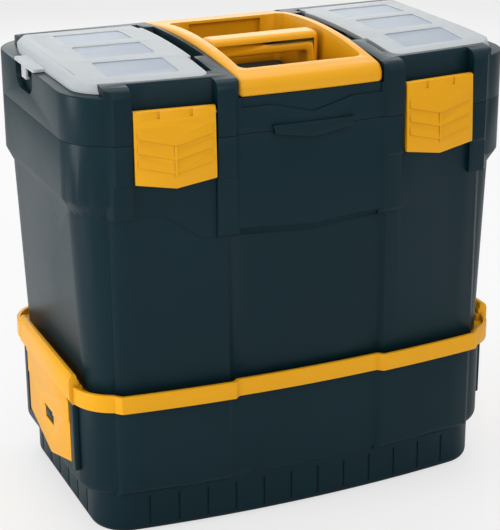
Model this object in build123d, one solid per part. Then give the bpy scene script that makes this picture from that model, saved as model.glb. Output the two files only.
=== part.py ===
"""Two-part toolbox: a lower container, an upper box with a lift-out tray, and an organiser lid.

Millimetres. +X right, +Y back, +Z up. The origin is the middle of the underside of the container.
"""
import os
from math import asin, atan2, cos, degrees, radians, sin, sqrt

from build123d import *

# ---------------------------------------------------------------- driving dimensions
wall = 3.0               # moulded wall of the shells
clear = 0.3              # gap between pieces that lie side by side
running = 0.05           # radial gap of a pin in the bore that turns on it
parting = 0.4            # gap between lid and box

# Overall, which the rest follows
box_half_top = 215.4     # half width of the upper box at its top
box_front = 118.5
box_back = 121.0
container_top = 140.0
box_top = 384.0          # top edge of the upper box, where the lid parts

bow_half = box_half_top - 25.4 # half the chord over which the fronts are bowed
bow = 13.3               # how far the fronts bulge over that chord
bow_at = box_front + 2.5      # front plane at x = bow_half of the arc that sets the bow's centre

# Lower container
plinth_top = 40.0
plinth_half = box_half_top - 12.4
plinth_front = box_front - 4.0
plinth_back = box_back - 6.0
plinth_corner = 36.0
plinth_round = 8.0
groove_pitch = 28.5
groove_width = 2.4
groove_depth = 1.2
container_half = box_half_top - 1.4
container_front = box_front - 1.5
container_back = box_back - 2.0
container_corner = 41.0
container_round = 10.0

# Raised front panels, on the container and on the box
panel_inner = 80.0
panel_outer = bow_half - 8.0
panel_ramp = 5.0
panel_rise = 4.0

# Connecting ring
ring_bottom = container_top - 7.7
ring_top = container_top + 9.0
ring_half = container_half + 4.5
ring_front = box_front + 8.0
ring_back = box_back + 7.0
ring_corner = 44.0
ring_wall = 3.5
ring_rise = 5.0
ring_step_inner = 77.0
ring_web = 3.0
ring_web_width = 22.0
ring_screw_radius = 2.0

# Side latches
side_latch_middle = -10.0    # y of its middle
side_latch_width = 131.0     # the plate
side_hood_width = 150.0      # the thick top part
side_latch_face = container_half + 5.0 # x of the plate's outer face
side_latch_thick = 3.5
side_hood_face = side_latch_face + 3.0
side_hood_bottom = container_top - 9.0
side_hood_top = container_top + 21.0
side_plate_bottom = container_top - 74.0 # its lower corners
side_plate_point = side_plate_bottom - 20.0 # the tip of its V
side_pin_x = side_hood_face - 5.5
side_pin_z = container_top + 14.5
side_pin_radius = 1.75
side_pin_grip = 3.5          # its depth in the front cheek
side_lug_width = 5.0
lug_z = container_top - 53.0  # the container's snap lug, which the plate's window takes
lug_width = 24.0
lug_height = 13.0
lug_ramp = 4.0               # rise of the lug's underside, so that the lifted plate slides off
guard_width = 9.0
guard_bottom = container_top - 78.0
guard_face = side_latch_face - 0.7

# Upper box
box_bottom = ring_bottom + 10.7
box_half_bottom = box_half_top - 9.4
box_corner = 39.0

# Rim band of the box, under the lid
band_bottom = box_top - 53.0
band_chamfer = 16.0
band_root = 0.8              # how deep the chamfer's foot is sunk in the wall
band_half = box_half_top + 4.1
band_front = box_front + 9.5
band_back = box_back + 7.0
band_corner = 45.0
band_middle = box_top - 84.0  # lower edge of the band's middle, at its ends
band_dip = 7.0               # how far that edge dips at x = 0
band_slope_height = 10.0

rim_z = box_top + 43.0        # ledge round the organiser covers

# Piers beside the latches, on box and lid
pier_front = band_front + 3.5
pier_low_front = pier_front - 1.7
pier_step = box_top - 33.0
pier_depth = 11.0
pier_bevel = 6.0
inner_pier = (75.3, 92.0)
latch_outer = bow_half - 22.6
latch_gap = 0.8              # between a latch and the pier outside it
outer_pier = (latch_outer + latch_gap, bow_half - 6.0)
inner_pier_bottom = box_top - 94.0
outer_pier_bottom = box_top - 67.0
recess_front = box_front + 6.0 # floor of the latch recess on the box
recess_bottom_outer = outer_pier_bottom
recess_bottom_inner = inner_pier_bottom - 1.0
lid_recess_front = box_front - 0.5 # floor of the latch recess on the lid
lid_recess_top = rim_z + 5.0

# Lid
lid_bottom = box_top + parting
crown_z = box_top + 58.5      # top of the lid at y = 0
crown_drop = 7.0             # fall of the dome at y = +-crown_span
crown_span = 125.0
back_fall = (band_back - 58.0, band_back - 23.0)  # y where the top starts to fall, and half way
crease_half = bow_half        # where the top turns down to the sides
lip_crease_z = box_top + 24.0 # ledge line across the middle of the lid's front
front_round = 10.0

# Lid hinge, at the back
hinge_y = band_back + 6.2
hinge_radius = 5.0
hinge_pin_radius = 2.0
hinge_middles = (-130.0, 130.0)
knuckle_length = 24.0
knuckle_gap = 0.5
box_knuckle_length = 10.0

# Handle
frame_half = 71.0
frame_front = band_front - 0.2
frame_back = band_back - 18.0
frame_bar_bottom = rim_z - 10.0
frame_crown = crown_z + 4.5
frame_drop = 12.5
frame_edge_round = 5.0
well_floor = box_top + 12.0
well_half_top = frame_half - 10.0
well_half_floor = frame_half - 14.0
well_front = -box_front - 0.5
well_back = 60.0
niche_half = 38.0
niche_depth = 6.0
grip_half = well_half_floor - 1.0
grip_leg = 12.0
grip_front = -38.0
grip_back = -12.0
grip_top = crown_z + 2.0
grip_thick = 18.0
grip_round = 6.0

# Organiser bins and covers
cover_thick = 2.0
cover_inner = 90.5
cover_front = band_front - 17.0  # front plane of the cover's front edge, which is bowed
cover_back = band_back - 48.0
cover_corner = 9.0           # radius of its front inner corner
cover_wrap = bow_half + 0.5   # beyond this x the cover wraps round the lid's corner
cover_side = band_half - 10.9 # x of its outer lower edge, on the lid's ledge
cover_skirt = 1.8            # wall of the rim under the cover's edge
flap_inner = 86.8            # the cover's hinge flap reaches in to this x
flap_ends = (-68.0, 61.0)
roof_drop = 4.4              # lid roof under the covers, below the crown
window_inner = 112.0
window_outer = bow_half - 13.0
window_ends = (-104.0, 59.0)
window_gap = 17.0
window_lean = 8.5            # how far the first window's outer end lies behind its inner end
window_depth = 0.8
cover_hinge_x = 91.5
cover_hinge_z = crown_z - 6.2
cover_hinge_radius = 2.4
swing_room = 6.8             # how far the cover's inner edge swings in past the hinge
gutter_floor = cover_hinge_z - swing_room
cover_pin_radius = 1.2
cover_hinge_middles = (-40.0, 40.0)
cover_barrel_length = 22.0
cover_lug_length = 5.0
tab_middle = 13.0
tab_width = 60.0
tab_face = band_half + 0.1
prong_width = 14.0
prong_bottom = rim_z - 11.0
pocket_bottom = rim_z - 23.0
pocket_depth = 6.5
bin_inner = 104.0
bin_outer = cover_side - 9.0
bin_front = 25.0 - band_front
bin_back = cover_back - 12.0
bin_bottom = rim_z - 23.0
bin_wall = 1.6
bin_corner = 6.0
bin_flange = 4.0
bin_flange_thick = 1.5

# Front latches
latch_inner = inner_pier[1] + 1.9
latch_face = pier_front - 0.5
latch_top = box_top + 29.6
latch_corner_z = box_top - 34.5
latch_point_z = latch_corner_z - 6.5
latch_pin_z = box_top + 23.0
latch_pin_back = 5.0
latch_pin_radius = 2.0
latch_barrel_radius = 4.0
latch_slot_width = 2.6
latch_slot_depth = 7.5
latch_lean = 2.0
rib_depth = 1.3
rib_spine = 2.4              # width of the upright where the ribs meet
rib_fall = 9.0
catch_z = box_top - 18.0
catch_reach = 3.0

# Tray
tray_half = box_half_bottom - 3.0
tray_front = box_front - 6.5
tray_back = box_back - 8.0
tray_corner = 34.0
tray_bottom = box_top - 52.0
tray_top = box_top - 5.0
tray_wall = 2.2
tray_handle_top = box_top + 5.0
tray_handle_half = 60.0
tray_divider_wall = 2.0
tray_rail = 14.0             # half width of the tray's middle channel

# ---------------------------------------------------------------- shared geometry
bow_radius = (bow_half**2 + bow**2) / (2 * bow)
bow_centre = bow_radius - bow_at - bow


def front_y(front, x):
    """y of the bowed front whose plane at x = bow_half is y = -front."""
    return bow_centre - sqrt((bow_radius + front - bow_at) ** 2 - x**2)


def plan(half, front, back, corner):
    """Plan outline with a bowed front, straight sides and back, and rounded corners."""
    side_y = front_y(front, half)
    arc = ThreePointArc((-half, side_y), (0, front_y(front, 0)), (half, side_y))
    rest = Polyline((half, side_y), (half, back), (-half, back), (-half, side_y))
    face = make_face([arc, rest])
    return fillet(face.vertices(), corner)


def prism(outline, low, high):
    return extrude(Pos(0, 0, low) * outline, amount=high - low)


def block(x, y, z):
    """Box between three pairs of limits."""
    size = [high - low for low, high in (x, y, z)]
    middle = [(high + low) / 2 for low, high in (x, y, z)]
    return Pos(*middle) * Box(*size)


def mirrored(shape):
    return mirror(shape, about=Plane.YZ)


def both(shape):
    return shape + mirrored(shape)


def pad(front, inner, outer, ramp_in, ramp_out, rise, depth):
    """Plan outline of a raised front panel on the right: face at front, foot at front - rise."""
    middle = (inner + outer) / 2
    foot = front - rise
    low, high = inner - ramp_in, outer + ramp_out
    face = ThreePointArc(
        (inner, front_y(front, inner)), (middle, front_y(front, middle)), (outer, front_y(front, outer))
    )
    rest = Polyline(
        (outer, front_y(front, outer)),
        (high, front_y(foot, high)),
        (high, front_y(foot, high) + depth),
        (low, front_y(foot, low) + depth),
        (low, front_y(foot, low)),
        (inner, front_y(front, inner)),
    )
    return make_face([face, rest])


def swept(face):
    """Solid swept by a face of the plane x = 0 round the bow's centre."""
    turn = degrees(asin(240 / bow_radius))
    axis = Axis((0, bow_centre, 0), (0, 0, 1))
    solid = revolve(face, axis=axis, revolution_arc=2 * turn)
    return Pos(0, bow_centre, 0) * Rot(0, 0, -turn) * Pos(0, -bow_centre, 0) * solid


def bowed(points):
    """Swept solid of a side profile of (y, z) points."""
    return swept(make_face(Polyline(*[(0, y, z) for y, z in points], close=True)))


def in_front(front, low, high, reach=40.0):
    """Everything ahead of a bowed front plane, between two heights."""
    y = front_y(front, 0)
    return bowed([(y, low), (y, high), (y - reach, high), (y - reach, low)])


def rod(start, end, radius):
    start, end = Vector(*start), Vector(*end)
    along = end - start
    return Plane(origin=start, z_dir=along) * extrude(Circle(radius), amount=along.length)


def save(shape, name):
    shape.label = name
    export_step(shape, os.path.join("parts", name + ".step"))


def rounded_front(front, low, high, low_round, high_round, depth, steps=6):
    """Side profile of a bowed front whose lower and upper edges are rounded."""
    y = front_y(front, 0)
    turns = [radians(90 * i / steps) for i in range(steps + 1)]
    lower = [(y + low_round * (1 - sin(t)), low + low_round * (1 - cos(t))) for t in turns]
    upper = [(y + high_round * (1 - cos(t)), high - high_round * (1 - sin(t))) for t in turns]
    if not low_round:
        lower = [(y, low)]
    if not high_round:
        upper = [(y, high)]
    return [(y + depth, low)] + lower + upper + [(y + depth, high)]


# ---------------------------------------------------------------- lower container
def container_shell():
    outer = plan(container_half, container_front, container_back, container_corner)
    body = prism(outer, plinth_top, container_top)
    body = fillet(body.edges().group_by(Axis.Z)[0], container_round)
    panel_face = container_front + panel_rise
    panels = pad(panel_face, panel_inner, panel_outer, panel_ramp, panel_ramp, panel_rise, 8)
    edge = rounded_front(panel_face, plinth_top + 1, container_top, container_round, 0.0, 30)
    body += both(prism(panels, plinth_top, container_top)) & bowed(edge)
    plinth = prism(plan(plinth_half, plinth_front, plinth_back, plinth_corner), 0, plinth_top + 8)
    body += fillet(plinth.edges().group_by(Axis.Z)[0], plinth_round)

    cavity = prism(
        plan(container_half - wall, container_front - wall, container_back - wall, container_corner - wall),
        plinth_top + container_round + wall,
        container_top,
    )
    shoulder_low = Pos(0, 0, plinth_top + wall) * plan(
        plinth_half - wall, plinth_front - wall, plinth_back - wall, plinth_corner - wall
    )
    shoulder_high = Pos(0, 0, plinth_top + container_round + wall) * plan(
        container_half - wall, container_front - wall, container_back - wall, container_corner - wall
    )
    cavity += loft([shoulder_low, shoulder_high], ruled=True)
    cavity += prism(
        plan(plinth_half - wall, plinth_front - wall, plinth_back - wall, plinth_corner - wall),
        wall,
        plinth_top + wall,
    )
    body -= cavity

    groove_z = (plinth_round, plinth_top - 3)
    half_groove = groove_width / 2
    front_count = int(2 * (plinth_half - plinth_corner) / groove_pitch)
    for i in range(front_count + 1):
        x = (i - front_count / 2) * groove_pitch
        floor_y = front_y(plinth_front - groove_depth, x)
        body -= block((x - half_groove, x + half_groove), (floor_y - 9, floor_y), groove_z)
    side_count = int(2 * (plinth_back - plinth_corner) / groove_pitch)
    for i in range(side_count + 1):
        y = (i - side_count / 2) * groove_pitch
        floor_x = plinth_half - groove_depth
        body -= both(block((floor_x, floor_x + 9), (y - half_groove, y + half_groove), groove_z))

    # Snap lug for the latch's window, and a guard on each side of the latch.
    inside = container_half - 1
    lug = Polyline(
        (inside, lug_z - lug_height / 2),
        (container_half + 0.5, lug_z - lug_height / 2),
        (guard_face, lug_z - lug_height / 2 + lug_ramp),
        (guard_face, lug_z + 1),
        (container_half + 0.5, lug_z + lug_height / 2),
        (inside, lug_z + lug_height / 2),
        close=True,
    )
    lug = extrude(Plane.XZ * make_face(lug), amount=lug_width / 2, both=True)
    sides = Pos(0, side_latch_middle, 0) * lug
    for side in (-1, 1):
        near = side_latch_middle + side * (side_latch_width / 2 + 3.5)
        y = sorted((near, near + side * guard_width))
        guard = block((inside, guard_face), y, (guard_bottom, side_hood_bottom - 1))
        guard = chamfer(guard.edges().filter_by(Axis.Z).group_by(Axis.X)[-1], 1.2)
        sides += guard
    body += both(sides)
    return body


# ---------------------------------------------------------------- connecting ring
def ring_outline(inset):
    outline = plan(ring_half - inset, ring_front - inset, ring_back - inset, ring_corner - inset)
    raised = pad(
        ring_front + ring_rise - inset,
        ring_step_inner + inset / 2,
        bow_half - panel_ramp - inset / 2,
        panel_ramp,
        panel_ramp,
        ring_rise,
        8,
    )
    return outline + both(raised)


def ring_screw_places():
    x_side = box_half_bottom - wall - 9
    back = box_back - wall - 9
    places = [(x, back) for x in (-120, 0, 120)]
    places += [(x, front_y(box_front - wall - 9, x)) for x in (-120, 0, 120)]
    places += [(x, 0) for x in (-x_side, x_side)]
    return places


def side_latch_ends(gap=0.0):
    half = side_hood_width / 2 + gap
    return side_latch_middle - half, side_latch_middle + half


def hood_profile():
    """Section of the thick top of a side latch, which the ring's cheeks beside it share."""
    inner = side_latch_face - side_latch_thick
    outline = Polyline(
        (inner - 1.6, container_top + 4),
        (inner, container_top + 1),
        (inner, side_hood_bottom),
        (side_latch_face, side_hood_bottom),
        (side_hood_face - 0.8, side_hood_bottom + 4),
        (side_hood_face, side_hood_bottom + 9),
        (side_hood_face, side_hood_top - 6),
        (side_hood_face - 1.2, side_hood_top - 2.4),
        (side_hood_face - 3.6, side_hood_top),
        (inner - 0.2, side_hood_top),
        (inner - 1.6, side_hood_top - 2.5),
        close=True,
    )
    return Plane.XZ * make_face(outline)


def connecting_ring():
    web_z = (box_bottom - ring_web, box_bottom)
    ring = prism(ring_outline(0), ring_bottom, ring_top)
    ring -= prism(ring_outline(ring_wall), ring_bottom, ring_top)
    inset = ring_web_width - ring_half + box_half_bottom
    opening = plan(box_half_bottom - inset, box_front - inset, box_back - inset, box_corner - 10)
    ring += prism(ring_outline(1), *web_z) - prism(opening, *web_z)
    low, high = side_latch_ends(clear)
    set_back = side_latch_face - side_latch_thick - 2.5
    above_container = container_top + clear
    sides = block((set_back - ring_wall, set_back), (low - 6, high + 6), (above_container, ring_top))
    cut = block((set_back, ring_half + 9), (low, high), (ring_bottom - 1, ring_top + 1))
    ring = ring - both(cut) + both(sides)
    lugs = []
    for y, side in ((low, -1), (high, 1)):
        limits = sorted((y, y + side * side_lug_width))
        lug = block((side_pin_x - 4.2, side_pin_x + 1.4), limits, (above_container, side_pin_z))
        cheek = Pos(0, limits[1], 0) * extrude(hood_profile(), amount=side_lug_width)
        lugs.append(lug + cheek)
    ring += both(lugs[0] + lugs[1])
    ring -= both(side_pin())
    for x, y in ring_screw_places():
        ring -= Pos(x, y, box_bottom) * Cylinder(ring_screw_radius + 0.2, 20)
    return ring


def ring_screws():
    """Pan-head screws up through the ring's web into the bosses of the box."""
    screws = []
    for x, y in ring_screw_places():
        head = Pos(x, y, box_bottom - ring_web - 1.25) * Cylinder(ring_screw_radius * 2, 2.5)
        shank = Pos(x, y, box_bottom - ring_web) * Cylinder(
            ring_screw_radius, 11, align=(Align.CENTER, Align.CENTER, Align.MIN)
        )
        cross = Box(3.4, 0.9, 1.6) + Box(0.9, 3.4, 1.6)
        screws.append(head + shank - Pos(x, y, box_bottom - ring_web - 2.5) * cross)
    return Compound(screws)


# ---------------------------------------------------------------- side latches
def side_latch():
    low, high = side_latch_ends()
    inner = side_latch_face - side_latch_thick
    length = (high - low) / 2
    latch = Pos(0, side_latch_middle, 0) * extrude(hood_profile(), amount=length, both=True)
    half = side_latch_width / 2
    rise = side_plate_bottom - side_plate_point

    def layer(face, lower_ends, upper):
        outline = Polyline(
            (-half, upper),
            (-half, lower_ends),
            (0, lower_ends - rise),
            (half, lower_ends),
            (half, upper),
            close=True,
        )
        sheet = extrude(Plane.YZ * make_face(outline), amount=face - inner)
        return Pos(inner, side_latch_middle, 0) * sheet

    latch += layer(side_latch_face - 0.9, side_plate_bottom, side_hood_bottom + 3)
    latch += layer(side_latch_face, side_plate_bottom + 41, side_hood_bottom + 3)
    latch += layer(side_latch_face + 0.9, side_plate_bottom + 64, side_hood_bottom + 3)
    window_half = lug_width / 2 + clear * 2
    latch -= block(
        (inner - 1, side_hood_face + 1),
        (side_latch_middle - window_half, side_latch_middle + window_half),
        (lug_z - lug_height / 2 - clear * 2, lug_z + lug_height / 2 + clear * 2),
    )
    start, end = [(side_pin_x, y, side_pin_z) for y in (low - 1, high + 1)]
    return latch - rod(start, end, side_pin_radius + running)


def side_pin():
    """Pin from a blind bore in the front cheek to the outer face of the rear one."""
    low, high = side_latch_ends(clear)
    start = (side_pin_x, low - side_pin_grip, side_pin_z)
    return rod(start, (side_pin_x, high + side_lug_width, side_pin_z), side_pin_radius)


def side_latch_pins():
    return Compound([side_pin(), mirrored(side_pin())])


# ---------------------------------------------------------------- upper box
def box_half(z):
    """Half width of the tapered box walls at a height."""
    return box_half_bottom + (box_half_top - box_half_bottom) * (z - box_bottom) / (box_top - box_bottom)


def box_walls(inset, low, high):
    outlines = [
        Pos(0, 0, z) * plan(box_half(z) - inset, box_front - inset, box_back - inset, box_corner - inset)
        for z in (low, high)
    ]
    return loft(outlines, ruled=True)


def piers(low_limits, high_limit):
    """Plan-limited inner and outer pier on the right, each from its own foot to one height."""
    inner = pad(pier_front, *inner_pier, pier_bevel, 0.01, pier_bevel, pier_depth)
    outer = pad(pier_front, *outer_pier, 0.01, pier_bevel, pier_bevel, pier_depth)
    return prism(inner, low_limits[0], high_limit) + prism(outer, low_limits[1], high_limit)


def pier_envelope(front, low, high, rounding):
    return bowed(rounded_front(front, low, high, rounding, 0.0, 40))


def band():
    """Thick rim round the top of the box, with a chamfered lower edge."""
    full = prism(plan(band_half, band_front, band_back, band_corner), band_bottom, box_top)
    foot_z = band_bottom - band_chamfer
    foot_half = box_half(foot_z) - band_root
    foot = Pos(0, 0, foot_z) * plan(foot_half, box_front - band_root, box_back - band_root, box_corner)
    shoulder = Pos(0, 0, band_bottom) * plan(band_half, band_front, band_back, band_corner)
    rim = full + loft([foot, shoulder], ruled=True)
    # Nothing of the rim stands ahead of the latch recesses.
    recess_x = (inner_pier[1], outer_pier[0])
    recess = block(recess_x, (-170, 0), (foot_z - 1, box_top + 1))
    recess = recess & in_front(recess_front, foot_z - 2, box_top + 2)
    rim -= both(recess)
    # Middle of the front: deeper, with a V-shaped lower edge sloping back to the wall.
    low_z = band_middle - band_dip - band_slope_height
    middle_outline = plan(band_half, band_front, 0, band_corner)
    middle = prism(middle_outline, low_z - 1, band_bottom + 1) & block(
        (-inner_pier[0], inner_pier[0]), (-170, -60), (low_z - 2, band_bottom + 2)
    )
    tip_y = front_y(band_front, 0)
    slope = atan2(band_slope_height, band_front - box_front)
    side_fall = degrees(atan2(band_dip, inner_pier[0]))
    for side in (-1, 1):
        tilt = Rot(0, -side * side_fall, 0) * Rot(-degrees(slope), 0, 0)
        knife = Pos(0, tip_y, band_middle - band_dip) * tilt
        middle -= knife * Pos(0, 0, -50) * Box(400, 200, 100)
    rim += middle
    return rim


def recess_floor():
    """Floor of each latch recess, a little proud of the box wall, with a cranked lower edge."""
    edge = Polyline(
        (inner_pier[0], box_top),
        (inner_pier[0], recess_bottom_inner),
        (inner_pier[1] + 14, recess_bottom_inner + 3),
        (outer_pier[0] - 28, recess_bottom_outer),
        (outer_pier[1], recess_bottom_outer),
        (outer_pier[1], box_top),
        close=True,
    )
    slab = extrude(Plane.XZ * make_face(edge), amount=170)
    inside = in_front(box_front - wall, recess_bottom_inner - 5, box_top + 5)
    beyond = in_front(recess_front, recess_bottom_inner - 6, box_top + 6)
    return (slab & inside) - beyond


def box_knuckle_limits(middle):
    """The x limits of the two box knuckles beside each lid knuckle."""
    half = knuckle_length / 2 + knuckle_gap
    outer = half + box_knuckle_length
    return [(middle - outer, middle - half), (middle + half, middle + outer)]


def knuckle(x_limits, low, high):
    """Hinge barrel with a web that roots it in the wall ahead of it."""
    start, end = [(x, hinge_y, box_top + parting / 2) for x in x_limits]
    barrel = rod(start, end, hinge_radius)
    web = block(x_limits, (band_back - 2, hinge_y), (low, high))
    return barrel + web


def latch_frame():
    """Plane of the right-hand latch: x along the latch, y outward, z up, at the latch's middle."""
    middle = (latch_inner + latch_outer) / 2
    turn = asin(middle / (bow_radius + latch_face - bow_at))
    return Pos(middle, front_y(latch_face, middle), 0) * Rot(0, 0, degrees(turn))


def along_latch(points, length, shift=0.0):
    """Solid of a side profile of (outward, z) points, carried along the latch."""
    outline = Polyline(*[(0, -out, z) for out, z in points], close=True)
    side = extrude(make_face(outline), amount=length / 2, both=True, dir=(1, 0, 0))
    return latch_frame() * Pos(shift, 0, 0) * side


def catch_ridge():
    foot = recess_front - latch_face
    ridge = [
        (foot - 1.5, catch_z),
        (foot + catch_reach, catch_z),
        (foot + catch_reach, catch_z + 1.5),
        (foot, catch_z + 5),
        (foot - 1.5, catch_z + 5),
    ]
    return along_latch(ridge, latch_outer - latch_inner - 14)


def box_shell():
    walls = box_walls(0, box_bottom, box_top)
    panel_face = box_front + panel_rise
    panels = pad(panel_face, panel_inner, panel_outer, panel_ramp, panel_ramp, panel_rise, 4)
    walls += both(prism(panels, box_bottom, band_bottom))
    shell = walls + band() + both(recess_floor())
    feet = (inner_pier_bottom, outer_pier_bottom)
    pier_pair = piers(feet, box_top)
    low_pier = pier_envelope(pier_low_front, inner_pier_bottom, pier_step, 7.0)
    high_pier = pier_envelope(pier_front, pier_step - 6, box_top, 5.0)
    shell += both(pier_pair & (low_pier + high_pier))
    shell -= box_walls(wall, box_bottom + wall, box_top)
    # Tongue that the lid's rim closes over.
    tongue_outline = plan(box_half_top - wall + 2.2, box_front - 0.8, box_back - 0.8, box_corner - 0.8)
    tongue = prism(tongue_outline, box_top - 3, box_top + 3.5)
    tongue -= box_walls(wall, box_top - 4, box_top)
    tongue_hole = plan(box_half_top - wall, box_front - wall, box_back - wall, box_corner - wall)
    tongue -= prism(tongue_hole, box_top - 1, box_top + 4)
    recess_x = (inner_pier[1] - wall - 1, outer_pier[0] + wall + 1)
    shell += tongue - both(block(recess_x, (-170, -60), (box_top, box_top + 9)))
    # Ribs that carry the tray.
    rib_x = box_half(tray_bottom) - wall
    for y in (-70, 70):
        rib = block((rib_x - 14, rib_x + 1), (y - 1.5, y + 1.5), (box_bottom + wall, tray_bottom - clear))
        shell += both(rib & box_walls(1, box_bottom, box_top))
    # Bosses for the ring's screws.
    for x, y in ring_screw_places():
        boss = Pos(x, y, box_bottom + 6.5) * Cylinder(5, 13)
        shell += boss & box_walls(1, box_bottom, box_top)
    for x, y in ring_screw_places():
        shell -= Pos(x, y, box_bottom + 4) * Cylinder(ring_screw_radius, 12)
    shell += both(catch_ridge())
    for middle in hinge_middles:
        for limits in box_knuckle_limits(middle):
            shell += knuckle(limits, box_top - 6, box_top)
        start = (middle - knuckle_length, hinge_y, box_top + parting / 2)
        end = (middle + knuckle_length, hinge_y, box_top + parting / 2)
        shell -= rod(start, end, hinge_pin_radius)
    return shell


def lid_hinge_pins():
    half = knuckle_length / 2 + knuckle_gap + 10
    z = box_top + parting / 2
    pins = [rod((m - half, hinge_y, z), (m + half, hinge_y, z), hinge_pin_radius) for m in hinge_middles]
    return Compound(pins)


# ---------------------------------------------------------------- lid
def lid_plan(inset=0.0):
    """Plan outline of the lid, drawn in by inset."""
    return plan(band_half - inset, band_front - inset, band_back - inset, band_corner - inset)


def back_slope(drop):
    """Everything in front of and under the slope at the back of the lid's top."""
    low = lid_bottom - 1
    start, middle, end = [
        (0, y, z - drop)
        for y, z in (
            (back_fall[0], crown_z + 2.2),
            (back_fall[1], crown_z - 7.3),
            (band_back, rim_z + 0.5),
        )
    ]
    outline = [
        ThreePointArc(start, middle, end),
        Polyline(end, (0, band_back, low), (0, -200, low), (0, -200, crown_z + 10)),
        Polyline((0, -200, crown_z + 10), (0, back_fall[0], crown_z + 10), start),
    ]
    return extrude(make_face(outline), amount=240, both=True, dir=(1, 0, 0))


def corner_slope(drop):
    """Everything under the rounded front corners of the covers."""
    inset = band_half - cover_side + drop
    low = Pos(0, 0, rim_z + 1) * lid_plan(inset)
    half, front, back, corner = [size - inset for size in (band_half, band_front, band_back, band_corner)]
    high = plan(half - 3, front - 11, back - 3, corner - 6)
    slope = loft([low, Pos(0, 0, crown_z + 3) * high], ruled=True)
    middle = block((-cover_wrap, cover_wrap), (-180, 180), (lid_bottom - 1, crown_z + 3))
    return prism(lid_plan(inset), lid_bottom - 1, rim_z + 1) + slope + middle


def crown(drop):
    """Everything under the lid's domed top, lowered by drop, within the covers' outer edge."""
    front = front_y(pier_front, 0)
    dome_front = front + front_round
    shoulder_z = crown_z - crown_drop * (dome_front / crown_span) ** 2 - drop
    dome = [
        ThreePointArc((0, dome_front, shoulder_z), (0, 0, crown_z - drop), (0, -dome_front, shoulder_z)),
        ThreePointArc(
            (0, dome_front, shoulder_z),
            (0, front + 0.3 * front_round, shoulder_z - 0.28 * front_round),
            (0, front, shoulder_z - front_round),
        ),
        Polyline(
            (0, front, shoulder_z - front_round),
            (0, front, lid_bottom - 1),
            (0, -dome_front, lid_bottom - 1),
            (0, -dome_front, shoulder_z),
        ),
    ]
    dome = swept(make_face(dome))
    side = cover_side - drop
    top = crown_z - drop + 1
    turn_down = [
        Polyline((-crease_half, top - 1), (-crease_half, top), (crease_half, top), (crease_half, top - 1)),
        ThreePointArc(
            (crease_half, top - 1),
            (crease_half + 0.62 * (side - crease_half), top - 5.2),
            (side, rim_z + 1),
        ),
        ThreePointArc(
            (-crease_half, top - 1),
            (-crease_half - 0.62 * (side - crease_half), top - 5.2),
            (-side, rim_z + 1),
        ),
        Polyline((side, rim_z + 1), (side, lid_bottom - 1), (-side, lid_bottom - 1), (-side, rim_z + 1)),
    ]
    turn_down = extrude(Plane.XZ * make_face(turn_down), amount=200, both=True)
    return dome & turn_down & back_slope(drop) & corner_slope(drop)


def cover_area(inset=0.0):
    """Plan outline of the right-hand organiser cover."""
    front = cover_front - inset
    inner = cover_inner + inset
    wrap = cover_wrap + inset
    start, middle, end = [(x, front_y(front, x)) for x in (inner, (inner + wrap) / 2, wrap)]
    back = cover_back - inset
    rest = Polyline(end, (wrap, -180), (240, -180), (240, back), (inner, back), start)
    main = make_face([ThreePointArc(start, middle, end), rest])
    main = fillet(main.vertices().sort_by_distance(start)[0], cover_corner - inset)
    low, high = flap_ends
    flap = rounded_rectangle((flap_inner + inset, inner + 8), (low + inset, high - inset), 2.0)
    flap = prism(flap, -1, 1)
    area = prism(main, -1, 1) + flap
    area = area & prism(lid_plan(band_half - cover_side + inset), -1, 1)
    return Pos(0, 0, -1) * area.faces().filter_by(Axis.Z).sort_by(Axis.Z)[-1]


def cover_front_end():
    """y at which the straight part of the cover's inner edge starts."""
    return front_y(cover_front, cover_inner) + cover_corner + 1


def tab_pocket(grow, reach):
    """U-shaped finger pocket in the lid's side, under the cover's tab."""
    half = tab_width / 2 - 4 + grow
    low = pocket_bottom - grow
    face = Pos(tab_middle, (low + rim_z + 5) / 2) * Rectangle(2 * half, rim_z + 5 - low)
    face = fillet(face.vertices().group_by(Axis.Y)[0], 14 + grow)
    floor_x = band_half - pocket_depth - grow
    return Pos(floor_x, 0, 0) * extrude(Plane.YZ * face, amount=reach)


def latch_pin_axis(margin_inner, margin_outer):
    """Ends of the latch's pin, past the inner and outer edge of the latch."""
    half = (latch_outer - latch_inner) / 2
    frame = latch_frame()
    low = frame * Pos(-half - margin_inner, latch_pin_back, latch_pin_z)
    high = frame * Pos(half + margin_outer, latch_pin_back, latch_pin_z)
    return low.position, high.position


def frame_screw_places():
    return [(-50, 90, well_floor - wall), (50, 90, well_floor - wall)] + [
        (x, front_y(frame_front - 10, x), frame_bar_bottom - clear - wall) for x in (-45, 45)
    ]


def grip_screw_places():
    x = grip_half - grip_leg / 2
    y = (grip_front + grip_back) / 2
    return [(-x, y, well_floor - wall), (x, y, well_floor - wall)]


def lid_outside():
    walls = prism(lid_plan(), lid_bottom, rim_z)
    walls = fillet(walls.edges().group_by(Axis.Z)[-1], 1.4)
    roof = prism(lid_plan(band_half - cover_side), rim_z - 3, crown_z) & crown(roof_drop)
    tops = prism(lid_plan(), rim_z - 4, crown_z + 3) & crown(0)
    tops -= both(prism(cover_area(-clear), rim_z - 5, crown_z + 4))
    pier_pair = piers((lid_bottom, lid_bottom), crown_z + 2) & crown(0)
    return walls + roof + tops + both(pier_pair)


def lid_cavity():
    inside = lid_plan(wall)
    cavity = prism(inside, lid_bottom - 1, rim_z - wall)
    cavity += prism(inside, rim_z - wall - 1, crown_z) & crown(roof_drop + wall)
    recess_x = (inner_pier[1] - wall, outer_pier[0] + wall)
    recess = block(recess_x, (-170, 0), (lid_bottom - 2, crown_z + 2))
    return cavity - both(recess & in_front(lid_recess_front - wall, lid_bottom - 3, crown_z + 3))


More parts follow.
